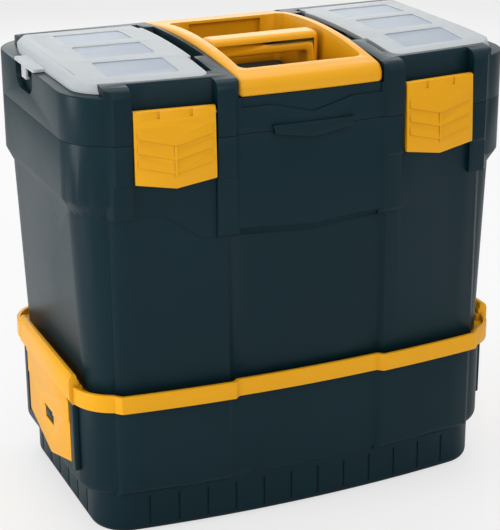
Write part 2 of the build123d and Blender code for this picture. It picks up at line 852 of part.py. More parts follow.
def latch_recess():
    """The space in front of the lid's latch recess, with the sloped edge above it."""
    y = front_y(lid_recess_front, 0)
    profile = [(y, lid_bottom - 2), (y, lid_recess_top), (y + 6, crown_z - 1.5), (y + 6, crown_z + 20)]
    space = bowed(profile + [(y - 40, crown_z + 20), (y - 40, lid_bottom - 2)])
    return space & block((inner_pier[1], outer_pier[0]), (-180, -80), (lid_bottom - 3, crown_z + 27))


def lid_front_relief():
    """Shallow step across the middle of the lid's front, with a V in its lower edge."""
    reach = inner_pier[0] - pier_bevel
    edge = Polyline(
        (-reach, lip_crease_z),
        (-40, lip_crease_z),
        (0, lip_crease_z - 10),
        (40, lip_crease_z),
        (reach, lip_crease_z),
        (reach, frame_bar_bottom + 2),
        (-reach, frame_bar_bottom + 2),
        close=True,
    )
    slab = extrude(Plane.XZ * make_face(edge), amount=170)
    return slab & in_front(band_front - 1.8, lip_crease_z - 20, frame_bar_bottom + 20)


def finger_tab():
    """V-shaped lift tab at the middle of the lid's lower edge, over the box's rim."""
    edge = Polyline(
        (-40, lid_bottom + 5.3),
        (40, lid_bottom + 5.3),
        (38, lid_bottom - 3),
        (0, lid_bottom - 9),
        (-38, lid_bottom - 3),
        close=True,
    )
    slab = extrude(Plane.XZ * make_face(edge), amount=170)
    inner = in_front(band_front + clear, lid_bottom - 20, lid_bottom + 20)
    root = in_front(band_front - 1, lid_bottom + 0.2, lid_bottom + 20)
    outer = in_front(band_front + 3.2, lid_bottom - 22, lid_bottom + 22)
    return (slab & (inner + root)) - outer


def cover_lugs():
    lugs = []
    for middle in cover_hinge_middles:
        for side in (-1, 1):
            near = middle + side * (cover_barrel_length / 2 + clear)
            limits = sorted((near, near + side * cover_lug_length))
            start, end = [(cover_hinge_x, y, cover_hinge_z) for y in limits]
            foot = block((cover_hinge_x + 1, cover_hinge_x + 5), limits, (gutter_floor - 1, cover_hinge_z))
            gusset_z = (cover_hinge_z - 2.2, cover_hinge_z + 1.2)
            gusset = block((cover_hinge_x, cover_hinge_x + 5), limits, gusset_z)
            lugs.append(rod(start, end, cover_hinge_radius) + foot + gusset)
    return lugs[0] + lugs[1] + lugs[2] + lugs[3]


def lid_shell():
    shell = lid_outside() - lid_cavity()
    # Pocket that the handle frame drops into: floor, curb walls and the shelf under its front bar.
    pocket_half = frame_half + clear
    front_wall = well_front - 5
    tub = block((-pocket_half - wall, pocket_half + wall), (front_wall - wall, frame_back + clear + wall),
                (well_floor - wall, crown_z - 5))
    tub = tub & crown(0)
    shelf_z = (frame_bar_bottom - clear - wall, frame_bar_bottom)
    shelf = block((-pocket_half, pocket_half), (-150, front_wall), shelf_z)
    shelf = shelf & prism(lid_plan(1), well_floor, rim_z)
    shell += tub + shelf
    pocket_x = (-pocket_half, pocket_half)
    shell -= block(pocket_x, (front_wall, frame_back + clear), (well_floor, crown_z + 27))
    shell -= block(pocket_x, (-170, front_wall + 1), (frame_bar_bottom - clear, crown_z + 27))
    shell -= lid_front_relief()
    shell -= both(latch_recess())
    # Openings for the organiser bins.
    opening = block(
        (bin_inner - clear, bin_outer + clear),
        (bin_front - clear, bin_back + clear),
        (lid_bottom, crown_z + 5),
    )
    opening = fillet(opening.edges().filter_by(Axis.Z), bin_corner - 1)
    shell -= both(opening)
    # Gutters that the covers' hinge edges swing down into, each with a floor of its own.
    outer = cover_hinge_x + 4.5
    front, back = cover_front_end(), cover_back + clear
    bed = block((pocket_half + wall - 1, outer + wall), (front - wall, back), (gutter_floor - 2.6, crown_z))
    shell += both(bed & crown(roof_drop))
    low, high = flap_ends
    gutter = block((pocket_half + wall, outer), (low - 1, high + 1), (gutter_floor, crown_z + 5))
    gutter += block((cover_hinge_x - swing_room, outer), (front, back), (gutter_floor + 1.5, crown_z + 5))
    shell -= both(gutter)
    shell += both(cover_lugs())
    for middle in cover_hinge_middles:
        half = cover_barrel_length / 2 + cover_lug_length + 1
        ends = [(cover_hinge_x, middle + side * half, cover_hinge_z) for side in (-1, 1)]
        shell -= both(rod(*ends, cover_pin_radius))
    # Finger pockets under the cover tabs, each with the ridge that the prong snaps under.
    backing = tab_pocket(wall, pocket_depth + wall - 0.5)
    backing = backing & block((0, 230), (-100, 100), (lid_bottom, rim_z))
    shell += both(backing)
    shell -= both(tab_pocket(0, 20))
    floor_x = band_half - pocket_depth
    ridge = block(
        (floor_x - 1, tab_face - 2.7), (tab_middle - prong_width / 2 - 2, tab_middle + prong_width / 2 + 2),
        (prong_bottom + 3, prong_bottom + 6),
    )
    shell += both(ridge)
    shell += finger_tab()
    # Latch pins, hinge knuckles and screw holes.
    shell -= both(rod(*latch_pin_axis(9, 10), latch_pin_radius))
    for middle in hinge_middles:
        limits = (middle - knuckle_length / 2, middle + knuckle_length / 2)
        shell += knuckle(limits, lid_bottom, lid_bottom + 6)
        reach = (middle - knuckle_length, middle + knuckle_length)
        ends = [(x, hinge_y, box_top + parting / 2) for x in reach]
        shell -= rod(*ends, hinge_pin_radius + running)
    for x, y, z in frame_screw_places() + grip_screw_places():
        shell -= Pos(x, y, z) * Cylinder(2.0, 12)
        shell -= Pos(x, y, z - 4) * Cylinder(4.4, 8)
    return shell


# ---------------------------------------------------------------- handle
def rounded_rectangle(x, y, radius):
    face = Pos(sum(x) / 2, sum(y) / 2) * Rectangle(x[1] - x[0], y[1] - y[0])
    return fillet(face.vertices(), radius)


def frame_envelope():
    front = front_y(frame_front, 0)
    back_z = frame_crown - frame_drop
    nose_z = back_z - 2
    pocket_front = well_front - 5 + clear
    outline = make_face(
        [
            ThreePointArc(
                (0, frame_back, back_z),
                (0, (frame_back + front) / 2, frame_crown),
                (0, front, nose_z),
            ),
            Polyline(
                (0, front, nose_z),
                (0, front, frame_bar_bottom),
                (0, pocket_front, frame_bar_bottom),
                (0, pocket_front, well_floor),
                (0, frame_back, well_floor),
                (0, frame_back, back_z),
            ),
        ]
    )
    corners = outline.vertices()
    nose = [v for v in corners if v.Y < front + 1 and v.Z > frame_bar_bottom + 1]
    outline = fillet(nose, 11)
    chin = [v for v in outline.vertices() if v.Y < front + 1 and v.Z < frame_bar_bottom + 1]
    outline = fillet(chin, 3)
    limits = ((-frame_half, frame_half), (-170, frame_back), (well_floor - 1, crown_z + 27))
    solid = swept(outline) & block(*limits)
    edges = [
        e
        for e in solid.edges()
        if abs(abs(e.center().X) - frame_half) < 0.01
        and (e.center().Z > frame_bar_bottom + 1 or e.center().Y < front)
    ]
    edges = [e for e in edges if e.center().Y < frame_back - 1]
    return fillet(edges, frame_edge_round)


def handle_frame():
    frame = frame_envelope()
    low = rounded_rectangle((-well_half_floor, well_half_floor), (well_front + 6, well_back - 2), 6)
    high = rounded_rectangle((-well_half_top, well_half_top), (well_front, well_back), 8)
    well_top = frame_crown + 3
    frame -= loft([Pos(0, 0, well_floor - 1) * low, Pos(0, 0, well_top) * high], ruled=True)
    niche_y = (well_back - 8, well_back + niche_depth)
    frame -= block((-niche_half, niche_half), niche_y, (well_floor + 10, frame_crown - 7))
    under = (well_floor - 1, frame_crown - frame_drop - 1.2 * wall)
    inner_back = well_back + niche_depth + wall
    frame -= block((-frame_half + wall, frame_half - wall), (inner_back, frame_back - wall), under)
    for x, y, z in frame_screw_places():
        boss_top = under[1] + 1 if y > 0 else z + 14
        if y > 0:
            frame += Pos(x, y, well_floor) * Cylinder(
                4.5, boss_top - well_floor, align=(Align.CENTER, Align.CENTER, Align.MIN)
            )
        frame -= Pos(x, y, z) * Cylinder(1.6, 2 * (wall + 9))
    return frame


def handle_grip():
    outline = Polyline(
        (-grip_half, well_floor),
        (-grip_half, grip_top),
        (grip_half, grip_top),
        (grip_half, well_floor),
        (grip_half - grip_leg, well_floor),
        (grip_half - grip_leg, grip_top - grip_thick),
        (-grip_half + grip_leg, grip_top - grip_thick),
        (-grip_half + grip_leg, well_floor),
        close=True,
    )
    face = make_face(outline)
    top = face.vertices().group_by(Axis.Y)[-1]
    face = fillet(top, 5)
    inner = [v for v in face.vertices() if abs(v.Y - (grip_top - grip_thick)) < 0.01]
    face = fillet(inner, 4)
    bar = extrude(Plane.XZ * face, amount=-(grip_back - grip_front))
    bar = Pos(0, grip_front, 0) * bar
    ends = [e for e in bar.edges() if abs(e.center().Z - grip_top) < 0.01 and e.length > grip_half]
    bar = fillet(ends, grip_round)
    under = grip_top - grip_thick
    low = [e for e in bar.edges() if abs(e.center().Z - under) < 0.01 and e.length > grip_half]
    bar = fillet(low, 4)
    for x, y, z in grip_screw_places():
        bar -= Pos(x, y, z) * Cylinder(1.6, 2 * (wall + 12))
    return bar


def screw(x, y, z, length):
    """Pan-head screw driven upwards; z is the face its head bears on."""
    head = Pos(x, y, z - 1.1) * Cylinder(3.6, 2.2)
    shank = Pos(x, y, z) * Cylinder(1.6, length, align=(Align.CENTER, Align.CENTER, Align.MIN))
    cross = Pos(x, y, z - 2.2) * (Box(3.0, 0.8, 1.4) + Box(0.8, 3.0, 1.4))
    return head + shank - cross


def handle_screws():
    places = frame_screw_places() + grip_screw_places()
    return Compound([screw(x, y, z, wall + 8) for x, y, z in places])


# ---------------------------------------------------------------- organisers in the lid
def window_limits():
    """y limits of the three windows of a cover, which match the bin's compartments."""
    low, high = window_ends
    size = (high - low - 2 * window_gap) / 3
    return [(low + i * (size + window_gap), low + i * (size + window_gap) + size) for i in range(3)]


def organiser_bin():
    area = ((bin_inner, bin_outer), (bin_front, bin_back))
    rim = [(low - bin_flange, high + bin_flange) for low, high in area]
    top_drop = roof_drop - bin_flange_thick
    body = prism(rounded_rectangle(*area, bin_corner), bin_bottom, crown_z) & crown(top_drop)
    body = fillet(body.edges().group_by(Axis.Z)[0], 3)
    flange = prism(rounded_rectangle(*rim, bin_corner + bin_flange - 1), rim_z, crown_z) & crown(top_drop)
    flange -= crown(roof_drop)
    inner = [(low + bin_wall, high - bin_wall) for low, high in area]
    cavity = prism(rounded_rectangle(*inner, bin_corner - bin_wall), bin_bottom + bin_wall, crown_z)
    cavity = fillet(cavity.edges().group_by(Axis.Z)[0], 2)
    shell = body + flange - cavity
    windows = window_limits()
    for below, above in zip(windows, windows[1:]):
        y = (below[1] + above[0]) / 2
        thick = (y - bin_wall / 2, y + bin_wall / 2)
        sheet = block((bin_inner, bin_outer), thick, (bin_bottom + 1, crown_z))
        shell += sheet & crown(top_drop + 3)
    return shell


def organiser_cover():
    low = rim_z + clear
    sheet = prism(cover_area(), low, crown_z + 1) & crown(0)
    hollow = prism(cover_area(cover_skirt), low - 1, crown_z + 1) & crown(cover_thick)
    cover = sheet - hollow - crown(roof_drop - clear)
    for limits in window_limits():
        lean = window_lean * (window_ends[1] - limits[1]) / (window_ends[1] - window_ends[0])
        corners = [(window_inner, limits[0]), (window_outer, limits[0] + lean)]
        corners += [(window_outer, limits[1] + lean), (window_inner, limits[1])]
        window = make_face(Polyline(*corners, close=True))
        window = prism(fillet(window.vertices(), 4), rim_z, crown_z + 2)
        cover -= window - crown(window_depth)
    for middle in cover_hinge_middles:
        half = cover_barrel_length / 2
        limits = (middle - half, middle + half)
        start, end = [(cover_hinge_x, y, cover_hinge_z) for y in limits]
        web = block((cover_hinge_x - 1.3, cover_hinge_x + 1.3), limits, (cover_hinge_z, crown_z + 1))
        web = web & crown(0)
        ends = [(cover_hinge_x, y + side, cover_hinge_z) for y, side in ((limits[0], -1), (limits[1], 1))]
        cover = cover + rod(start, end, cover_hinge_radius) + web - rod(*ends, cover_pin_radius + running)
    # Snap tab on the outer edge, with a prong that reaches down into the lid's pocket.
    half = tab_width / 2
    tab_y = (tab_middle - half, tab_middle + half)
    tab = block((cover_side - 2.2, tab_face), tab_y, (rim_z + clear, rim_z + 3))
    outer = tab.edges().filter_by(Axis.Z).group_by(Axis.X)[-1]
    tab = fillet(outer, 2.5)
    prong_y = (tab_middle - prong_width / 2, tab_middle + prong_width / 2)
    prong = block((tab_face - 2.2, tab_face - 0.2), prong_y, (prong_bottom, rim_z + 2))
    nub = block((tab_face - 3.3, tab_face - 1), prong_y, (prong_bottom, prong_bottom + 2.4))
    return cover + tab + prong + nub


def cover_hinge_pins():
    half = cover_barrel_length / 2 + cover_lug_length
    pins = []
    for middle in cover_hinge_middles:
        start, end = [(cover_hinge_x, y, cover_hinge_z) for y in (middle - half, middle + half)]
        pin = rod(start, end, cover_pin_radius)
        pins += [pin, mirrored(pin)]
    return Compound(pins)


# ---------------------------------------------------------------- front latches
def latch_face_out(z):
    """How far the latch's face stands out at a height: it leans out towards its lower edge."""
    return 0.6 + latch_lean * (latch_top - 12 - z) / (latch_top - 20 - latch_corner_z)


def front_latch():
    """Latch plate with a hinge barrel, a hook behind it and V-ribbed grip on its lower half."""
    length = latch_outer - latch_inner
    plate = [
        (-latch_pin_back, latch_top),
        (-1.6, latch_top),
        (-0.4, latch_top - 0.7),
        (0.0, latch_top - 1.8),
        (latch_face_out(latch_top - 12), latch_top - 12),
        (latch_face_out(latch_corner_z + 8), latch_corner_z + 8),
        (latch_face_out(latch_corner_z + 8), latch_point_z - 1),
        (-0.2, latch_point_z - 1),
        (-0.2, latch_corner_z + 6),
        (-2.8, latch_top - 14),
        (-latch_pin_back, latch_pin_z),
    ]
    latch = along_latch(plate, length)
    for side in (-1, 1):
        rib = [
            (-latch_pin_back, latch_pin_z + 3),
            (-1.0, latch_pin_z + 3),
            (1.4, latch_corner_z + 2),
            (-2.5, latch_corner_z + 2),
            (-5.6, latch_corner_z + 12),
            (-5.6, latch_pin_z - 6),
        ]
        latch += along_latch(rib, 2.4, side * (length / 2 - 1.2))
    hook = [(0.6, catch_z - 9), (-5.8, catch_z - 5), (-5.8, catch_z - clear), (0.6, catch_z - clear)]
    latch += along_latch(hook, length - 12)
    # Barrel round the pin.
    frame = latch_frame()
    half = length / 2
    ends = [(frame * Pos(side * half, latch_pin_back, latch_pin_z)).position for side in (-1, 1)]
    latch += rod(*ends, latch_barrel_radius)
    # Lower edge cut to a shallow V, and two slots in the top edge.
    below = Polyline(
        (-half - 1, latch_corner_z),
        (0, latch_point_z),
        (half + 1, latch_corner_z),
        (half + 1, latch_corner_z - 30),
        (-half - 1, latch_corner_z - 30),
        close=True,
    )
    latch -= frame * extrude(Plane.XZ * make_face(below), amount=20, both=True)
    for share in (-0.2, 0.2):
        x = share * length
        slot = block(
            (x - latch_slot_width / 2, x + latch_slot_width / 2),
            (-6, latch_pin_back - latch_barrel_radius - 0.3),
            (latch_top - latch_slot_depth, latch_top + 1),
        )
        latch -= frame * slot
    for level in range(3):
        latch += frame * grip_rib(half, latch_corner_z + 6.5 + level * 12.5)
    low, high = latch_corner_z + 4, latch_corner_z + 33
    spine = [
        (latch_face_out(low) - 0.8, low),
        (latch_face_out(low) + rib_depth, low + 1.5),
        (latch_face_out(high) + rib_depth, high - 1.5),
        (latch_face_out(high) - 0.8, high),
    ]
    latch += along_latch(spine, rib_spine)
    ends = [(frame * Pos(side * (half + 1), latch_pin_back, latch_pin_z)).position for side in (-1, 1)]
    return latch - rod(*ends, latch_pin_radius + running)


def grip_rib(half, low):
    """One V-shaped saw-tooth rib across the latch face, with its step at the lower edge."""
    end = Vector(0, 0.8 - latch_face_out(low), low)
    tooth = make_face(Polyline((0, 0, 0), (0, -rib_depth - 0.8, 0.3), (0, 0, 9.5), close=True))
    rib = []
    for side in (-1, 1):
        start = end + Vector(side * (half - 3), 0, rib_fall)
        rib.append(extrude(Pos(*start) * tooth, dir=end - start, amount=(end - start).length))
    return rib[0] + rib[1]


def front_latch_pins():
    pin = rod(*latch_pin_axis(6, 7), latch_pin_radius)
    return Compound([pin, mirrored(pin)])


# ---------------------------------------------------------------- tray
def tray_outline(inset):
    return plan(tray_half - inset, tray_front - inset, tray_back - inset, tray_corner - inset)


def tool_tray():
    tray = prism(tray_outline(4), tray_bottom, tray_top)
    tray = fillet(tray.edges().group_by(Axis.Z)[0], 4)
    tray += prism(tray_outline(0), tray_top - 3, tray_top)
    left, right = -tray_rail, tray_rail
    inner = prism(tray_outline(4 + tray_wall), tray_bottom + tray_wall, tray_top + 1)
    inner = fillet(inner.edges().group_by(Axis.Z)[0], 3)
    middle_walls = block((-tray_half, tray_half), (left - tray_wall, left), (tray_bottom, tray_top + 2))
    middle_walls += block((-tray_half, tray_half), (right, right + tray_wall), (tray_bottom, tray_top + 2))
    tray -= inner - middle_walls
    post_x = tray_handle_half
    for x in (-post_x, post_x):
        tray += block((x - 7, x + 7), (left - 1, right + 1), (tray_bottom + 1, tray_bottom + 12)) & prism(
            tray_outline(5), tray_bottom + 1, tray_top
        )
        tray -= block((x - 4.2, x + 4.2), (-6.2, 6.2), (tray_bottom + tray_wall, tray_bottom + 13))
    for x, y_limits in tray_divider_places():
        for y, inward in ((y_limits[0], 1), (y_limits[1], -1)):
            for side in (-1, 1):
                near = x + side * (tray_divider_wall / 2 + clear)
                limits = sorted((near, near + side * 1.5))
                depth = sorted((y - inward * 0.5, y + inward * 2.0))
                tray += block(limits, depth, (tray_bottom + 1, tray_top - 6))
    return tray


def tray_divider_places():
    """x of each removable divider and the y limits of the bay it stands in."""
    inset = 4 + tray_wall
    back = (tray_rail + tray_wall, tray_back - inset)
    places = [(x, back) for x in (-70, 70)]
    for x in (-110, 0, 110):
        places.append((x, (front_y(tray_front - inset, abs(x) + 3), -tray_rail - tray_wall)))
    return places


def tray_dividers():
    dividers = []
    half = tray_divider_wall / 2
    for x, (low, high) in tray_divider_places():
        height = (tray_bottom + tray_wall, tray_top - 7)
        sheet = block((x - half, x + half), (low + clear, high - clear), height)
        rounded = fillet(sheet.edges().filter_by(Axis.X), 3)
        dividers.append(rounded)
    return Compound(dividers)


def tray_handle():
    """Bridge handle whose two legs plug into sockets in the tray's middle channel."""
    low = tray_bottom + tray_wall
    outline = Polyline(
        (-tray_handle_half - 4, low),
        (-tray_handle_half - 4, tray_handle_top),
        (tray_handle_half + 4, tray_handle_top),
        (tray_handle_half + 4, low),
        (tray_handle_half - 4, low),
        (tray_handle_half - 4, tray_handle_top - 12),
        (-tray_handle_half + 4, tray_handle_top - 12),
        (-tray_handle_half + 4, low),
        close=True,
    )
    face = make_face(outline)
    face = fillet(face.vertices().group_by(Axis.Y)[-1], 6)
    bar = Pos(0, -6, 0) * extrude(Plane.XZ * face, amount=-12)
    top = [e for e in bar.edges() if e.center().Z > tray_handle_top - 0.01 and e.length > tray_handle_half]
    return fillet(top, 3.5)


# ---------------------------------------------------------------- the pieces
def main():
    os.makedirs("parts", exist_ok=True)
    save(container_shell(), "container_shell")
    save(connecting_ring(), "connecting_ring")
    save(ring_screws(), "ring_screws")
    latch = side_latch()
    save(latch, "side_latch_right")
    save(mirrored(latch), "side_latch_left")
    save(side_latch_pins(), "side_latch_pins")
    save(box_shell(), "box_shell")
    save(lid_hinge_pins(), "lid_hinge_pins")
    save(lid_shell(), "lid_shell")
    save(handle_frame(), "handle_frame")
    save(handle_grip(), "handle_grip")
    save(handle_screws(), "handle_screws")
    save(cover_hinge_pins(), "cover_hinge_pins")
    for name, make in (("bin", organiser_bin), ("cover", organiser_cover)):
        piece = make()
        save(piece, "organiser_" + name + "_right")
        save(mirrored(piece), "organiser_" + name + "_left")
    latch = front_latch()
    save(latch, "front_latch_right")
    save(mirrored(latch), "front_latch_left")
    save(front_latch_pins(), "front_latch_pins")
    save(tool_tray(), "tool_tray")
    save(tray_handle(), "tray_handle")
    save(tray_dividers(), "tray_dividers")


main()
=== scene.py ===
from math import pi, radians

import bpy
from mathutils import Matrix, Vector


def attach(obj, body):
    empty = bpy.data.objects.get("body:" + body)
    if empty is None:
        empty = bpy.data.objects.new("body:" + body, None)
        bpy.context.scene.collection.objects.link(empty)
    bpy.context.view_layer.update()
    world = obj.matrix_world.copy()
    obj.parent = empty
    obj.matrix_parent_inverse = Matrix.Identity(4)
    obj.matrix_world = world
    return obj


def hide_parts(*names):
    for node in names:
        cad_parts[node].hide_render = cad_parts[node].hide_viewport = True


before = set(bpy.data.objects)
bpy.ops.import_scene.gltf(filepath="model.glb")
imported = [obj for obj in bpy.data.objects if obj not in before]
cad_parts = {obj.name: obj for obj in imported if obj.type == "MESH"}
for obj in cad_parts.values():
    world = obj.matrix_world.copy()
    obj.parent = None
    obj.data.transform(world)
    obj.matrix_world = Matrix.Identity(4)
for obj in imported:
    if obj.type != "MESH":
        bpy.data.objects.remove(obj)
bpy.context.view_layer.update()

# ---------------------------------------------------------------- lower container
# The bottom half of the box: one dark polypropylene moulding with a fine spark-eroded grain, ribbed
# round its plinth, with a snap lug and two guards on each side. It stands on the floor.


class Reading:
    """A socket of a finish. Arithmetic on it adds Math nodes."""

    def __init__(self, finish, socket):
        self.finish = finish
        self.socket = socket

    def maths(self, operation, first, second, third=0.0):
        values = {0: first, 1: second, 2: third}
        return self.finish.node("ShaderNodeMath", {"operation": operation}, values)

    def __add__(self, other):
        return self.maths("ADD", self, other)

    def __sub__(self, other):
        return self.maths("SUBTRACT", self, other)

    def __rsub__(self, other):
        return self.maths("SUBTRACT", other, self)

    def __mul__(self, other):
        return self.maths("MULTIPLY", self, other)

    def __gt__(self, other):
        return self.maths("GREATER_THAN", self, other)

    def __lt__(self, other):
        return self.maths("LESS_THAN", self, other)

    __radd__ = __add__


class Finish:
    """A material whose nodes are added one by one and fed to its Principled shader."""

    def __init__(self, name, **constants):
        self.material = bpy.data.materials.new(name)
        self.material.use_nodes = True
        self.tree = self.material.node_tree
        self.shader = self.tree.nodes["Principled BSDF"]
        for socket, value in constants.items():
            self.shader.inputs[socket.replace("_", " ")].default_value = value
        self.place = self.node("ShaderNodeTexCoord", {}, {}, "Object")

    def node(self, kind, settings, values, output=0):
        node = self.tree.nodes.new(kind)
        for setting, value in settings.items():
            if setting == "stops":
                for stop, (position, level) in zip(node.color_ramp.elements, value):
                    stop.position = position
                    stop.color = (level, level, level, 1.0)
            else:
                setattr(node, setting, value)
        for socket, value in values.items():
            if isinstance(value, Reading):
                self.tree.links.new(value.socket, node.inputs[socket])
            else:
                node.inputs[socket].default_value = value
        return Reading(self, node.outputs[output])

    def noise(self, scale, detail=2.0, stretch=(1.0, 1.0, 1.0), shift=(0.0, 0.0, 0.0)):
        mapping = {"Vector": self.place, "Location": shift, "Scale": stretch}
        place = self.node("ShaderNodeMapping", {}, mapping)
        values = {"Vector": place, "Scale": scale, "Detail": detail}
        return self.node("ShaderNodeTexNoise", {}, values, "Fac")

    def steps(self, value, low, high):
        """0 below low and 1 above high, as a ramp."""
        return self.node("ShaderNodeValToRGB", {"stops": ((low, 0.0), (high, 1.0))}, {"Fac": value})

    def mix(self, factor, first, second):
        values = {0: factor, 6: first, 7: second}
        return self.node("ShaderNodeMix", {"data_type": "RGBA"}, values, 2)

    def feed(self, socket, value):
        self.tree.links.new(value.socket, self.shader.inputs[socket])

    def relief(self, height, distance, strength=1.0, below=None):
        values = {"Height": height, "Distance": distance, "Strength": strength}
        if below is not None:
            values["Normal"] = below
        return self.node("ShaderNodeBump", {}, values)


def shade(red, green, blue):
    """A colour written in 0 to 255 steps, as the shader takes it."""
    levels = [level / 255 for level in (red, green, blue)]
    linear = [v / 12.92 if v <= 0.04045 else ((v + 0.055) / 1.055) ** 2.4 for v in levels]
    return (*linear, 1.0)


def moulded(name, colour, pale, roughness, grain, shift, **constants):
    """Grained moulding: cloudy tone, fine rubbing marks, painted shade in crevices, spark-eroded
    surface.
    """
    finish = Finish(name, **constants)
    cloud = finish.noise(9.0, 3.0, shift=shift)
    rub = finish.steps(finish.noise(260.0, 2.0, (0.12, 0.12, 1.6), shift), 0.60, 0.78)
    wear = finish.steps(finish.noise(26.0, 4.0, shift=shift), 0.46, 0.72)
    marks = rub * wear
    # Painted shade: ambient occlusion darkens slots, grooves and recesses towards a darker copy of the
    # colour.
    painted_crevice_shade = 1.0 - finish.node("ShaderNodeAmbientOcclusion", {"samples": 6}, {"Distance": 0.007}, "AO")
    tone = finish.mix(cloud * 0.5 + marks * 0.22, colour, pale)
    dull_tone_and_painted_shade = tuple(level * 0.30 for level in colour[:3]) + (1.0,)
    tone = finish.mix(painted_crevice_shade * 0.9, tone, dull_tone_and_painted_shade)
    finish.feed("Base Color", tone)
    finish.feed("Roughness", roughness + (cloud - 0.5) * 0.16 + marks * 0.10)
    coarse = finish.relief(finish.noise(70.0, 1.0, shift=shift), 0.00025, 0.25)
    finish.feed("Normal", finish.relief(finish.noise(2600.0, 1.0), grain, 0.5, coarse))
    return finish.material


def dress(names, material):
    """Gives CAD nodes their finish."""
    for name in names:
        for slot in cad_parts[name].material_slots:
            slot.material = material


def softened(name, body, radius, material):
    """The moulding as it leaves its mould: every sharp edge of its CAD shape rounded off."""
    sharp = radians(38.0)
    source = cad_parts[name]
    piece = bpy.data.objects.new(f"{name}_moulding", source.data.copy())
    bpy.context.collection.objects.link(piece)
    bpy.ops.object.select_all(action="DESELECT")
    piece.select_set(True)
    bpy.context.view_layer.objects.active = piece
    bpy.ops.object.mode_set(mode="EDIT")
    bpy.ops.mesh.select_all(action="SELECT")
    bpy.ops.mesh.remove_doubles(threshold=0.000002)
    bpy.ops.mesh.dissolve_limited(angle_limit=radians(0.5))
    bpy.ops.object.mode_set(mode="OBJECT")
    edge = piece.modifiers.new("soft edges", "BEVEL")
    edge.width = radius
    edge.segments = 2
    edge.limit_method = "ANGLE"
    edge.angle_limit = sharp
    edge.use_clamp_overlap = True
    bpy.ops.object.modifier_apply(modifier=edge.name)
    bpy.ops.object.shade_smooth_by_angle(angle=sharp)
    piece.data.materials.clear()
    piece.data.materials.append(material)
    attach(piece, body)
    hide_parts(name)


petrol = shade(4, 35, 43)
petrol_pale = shade(13, 46, 55)
container_finish = moulded(
    "container plastic", petrol, petrol_pale, 0.38, 0.00006, (0.0, 0.0, 0.0), Specular_IOR_Level=0.16
)
softened("container_shell", "container", 0.0006, container_finish)

# ---------------------------------------------------------------- ring and side latches
# A yellow polypropylene ring screwed under the upper box, and two latches that hang from wire pins
# in its sides and snap over the container's lugs.
amber = shade(246, 172, 16)
amber_pale = shade(252, 186, 34)
ring_finish = moulded(
    "ring plastic", amber, amber_pale, 0.36, 0.00004, (3.0, 1.0, 2.0), Specular_IOR_Level=0.20
)
softened("connecting_ring", "upper_box", 0.0006, ring_finish)
for side in ("left", "right"):
    softened(f"side_latch_{side}", f"side_latch_{side}", 0.0007, ring_finish)


def zinc_plate(name, brightness, direction):
    """Zinc plate: bright metal, drawn or turned along one direction, with a cloudy passivated tone."""
    finish = Finish(name, Metallic=1.0)
    cloud = finish.noise(120.0, 3.0)
    draw = finish.noise(1800.0, 2.0, direction)
    dull_tone_and_painted_shade = shade(*(round(level * brightness) for level in (150, 152, 150)))
    bright = shade(*(round(level * brightness) for level in (196, 198, 192)))
    finish.feed("Base Color", finish.mix(cloud, dull_tone_and_painted_shade, bright))
    finish.feed("Roughness", 0.26 + draw * 0.16 + cloud * 0.06)
    finish.feed("Normal", finish.relief(draw, 0.00003, 0.4))
    return finish.material


screw_finish = zinc_plate("screw zinc", 1.0, (1.0, 1.0, 0.15))
pin_finish = zinc_plate("pin zinc", 0.94, (0.1, 1.0, 1.0))
dress(["ring_screws", "handle_screws"], screw_finish)
dress(["side_latch_pins", "lid_hinge_pins", "cover_hinge_pins", "front_latch_pins"], pin_finish)

# ---------------------------------------------------------------- upper box
# The deep box: dark polypropylene, drawn straight out of its mould, so its walls taper. The rim, the
# latch recesses, the hinge knuckles and the front piers are all one piece with it.
box_finish = moulded(
    "box plastic", petrol, petrol_pale, 0.38, 0.00006, (5.0, 2.0, 1.0), Specular_IOR_Level=0.16
)
softened("box_shell", "upper_box", 0.0006, box_finish)

# ---------------------------------------------------------------- tray
# A shallow lift-out tray with loose dividers, moulded in the accent colour with a matt face, and a
# dark bridge handle snapped into its middle channel.
tray_finish = moulded(
    "tray plastic", amber, amber_pale, 0.50, 0.00007, (2.0, 4.0, 1.0), Specular_IOR_Level=0.13
)
tray_handle_finish = moulded(
    "tray handle plastic", petrol, petrol_pale, 0.42, 0.00006, (1.0, 6.0, 3.0), Specular_IOR_Level=0.13
)
dress(["tool_tray", "tray_dividers"], tray_finish)
dress(["tray_handle"], tray_handle_finish)

# ---------------------------------------------------------------- lid
# One dark moulding that closes the box: domed top, pocket for the carrying frame, two wells for the
# organisers, hinge lugs and the finger tab in the middle of its front edge.
lid_finish = moulded(
    "lid plastic", petrol, petrol_pale, 0.37, 0.00006, (7.0, 3.0, 4.0), Specular_IOR_Level=0.16
)
softened("lid_shell", "lid", 0.0006, lid_finish)

# ---------------------------------------------------------------- carrying frame and grip
# The yellow frame drops into the lid's pocket and is screwed from inside. The grip bar is a second
# moulding screwed across its well. Both have a satin face, polished on the bar by hands.
frame_finish = moulded(
    "carrying frame plastic", amber, amber_pale, 0.34, 0.00004, (4.0, 5.0, 2.0), Specular_IOR_Level=0.30
)
grip_finish = moulded(
    "grip plastic", amber, amber_pale, 0.30, 0.00003, (6.0, 1.0, 5.0), Specular_IOR_Level=0.26
)
softened("handle_frame", "lid", 0.0008, frame_finish)
softened("handle_grip", "lid", 0.0008, grip_finish)

# ---------------------------------------------------------------- front latches
# Two yellow latches, each a thick moulded plate with chevron thumb ribs, hung on a wire pin.
latch_finish = moulded(
    "front latch plastic", amber, amber_pale, 0.36, 0.00004, (1.0, 2.0, 6.0), Specular_IOR_Level=0.20
)
for side in ("left", "right"):
    softened(f"front_latch_{side}", f"front_latch_{side}", 0.0008, latch_finish)

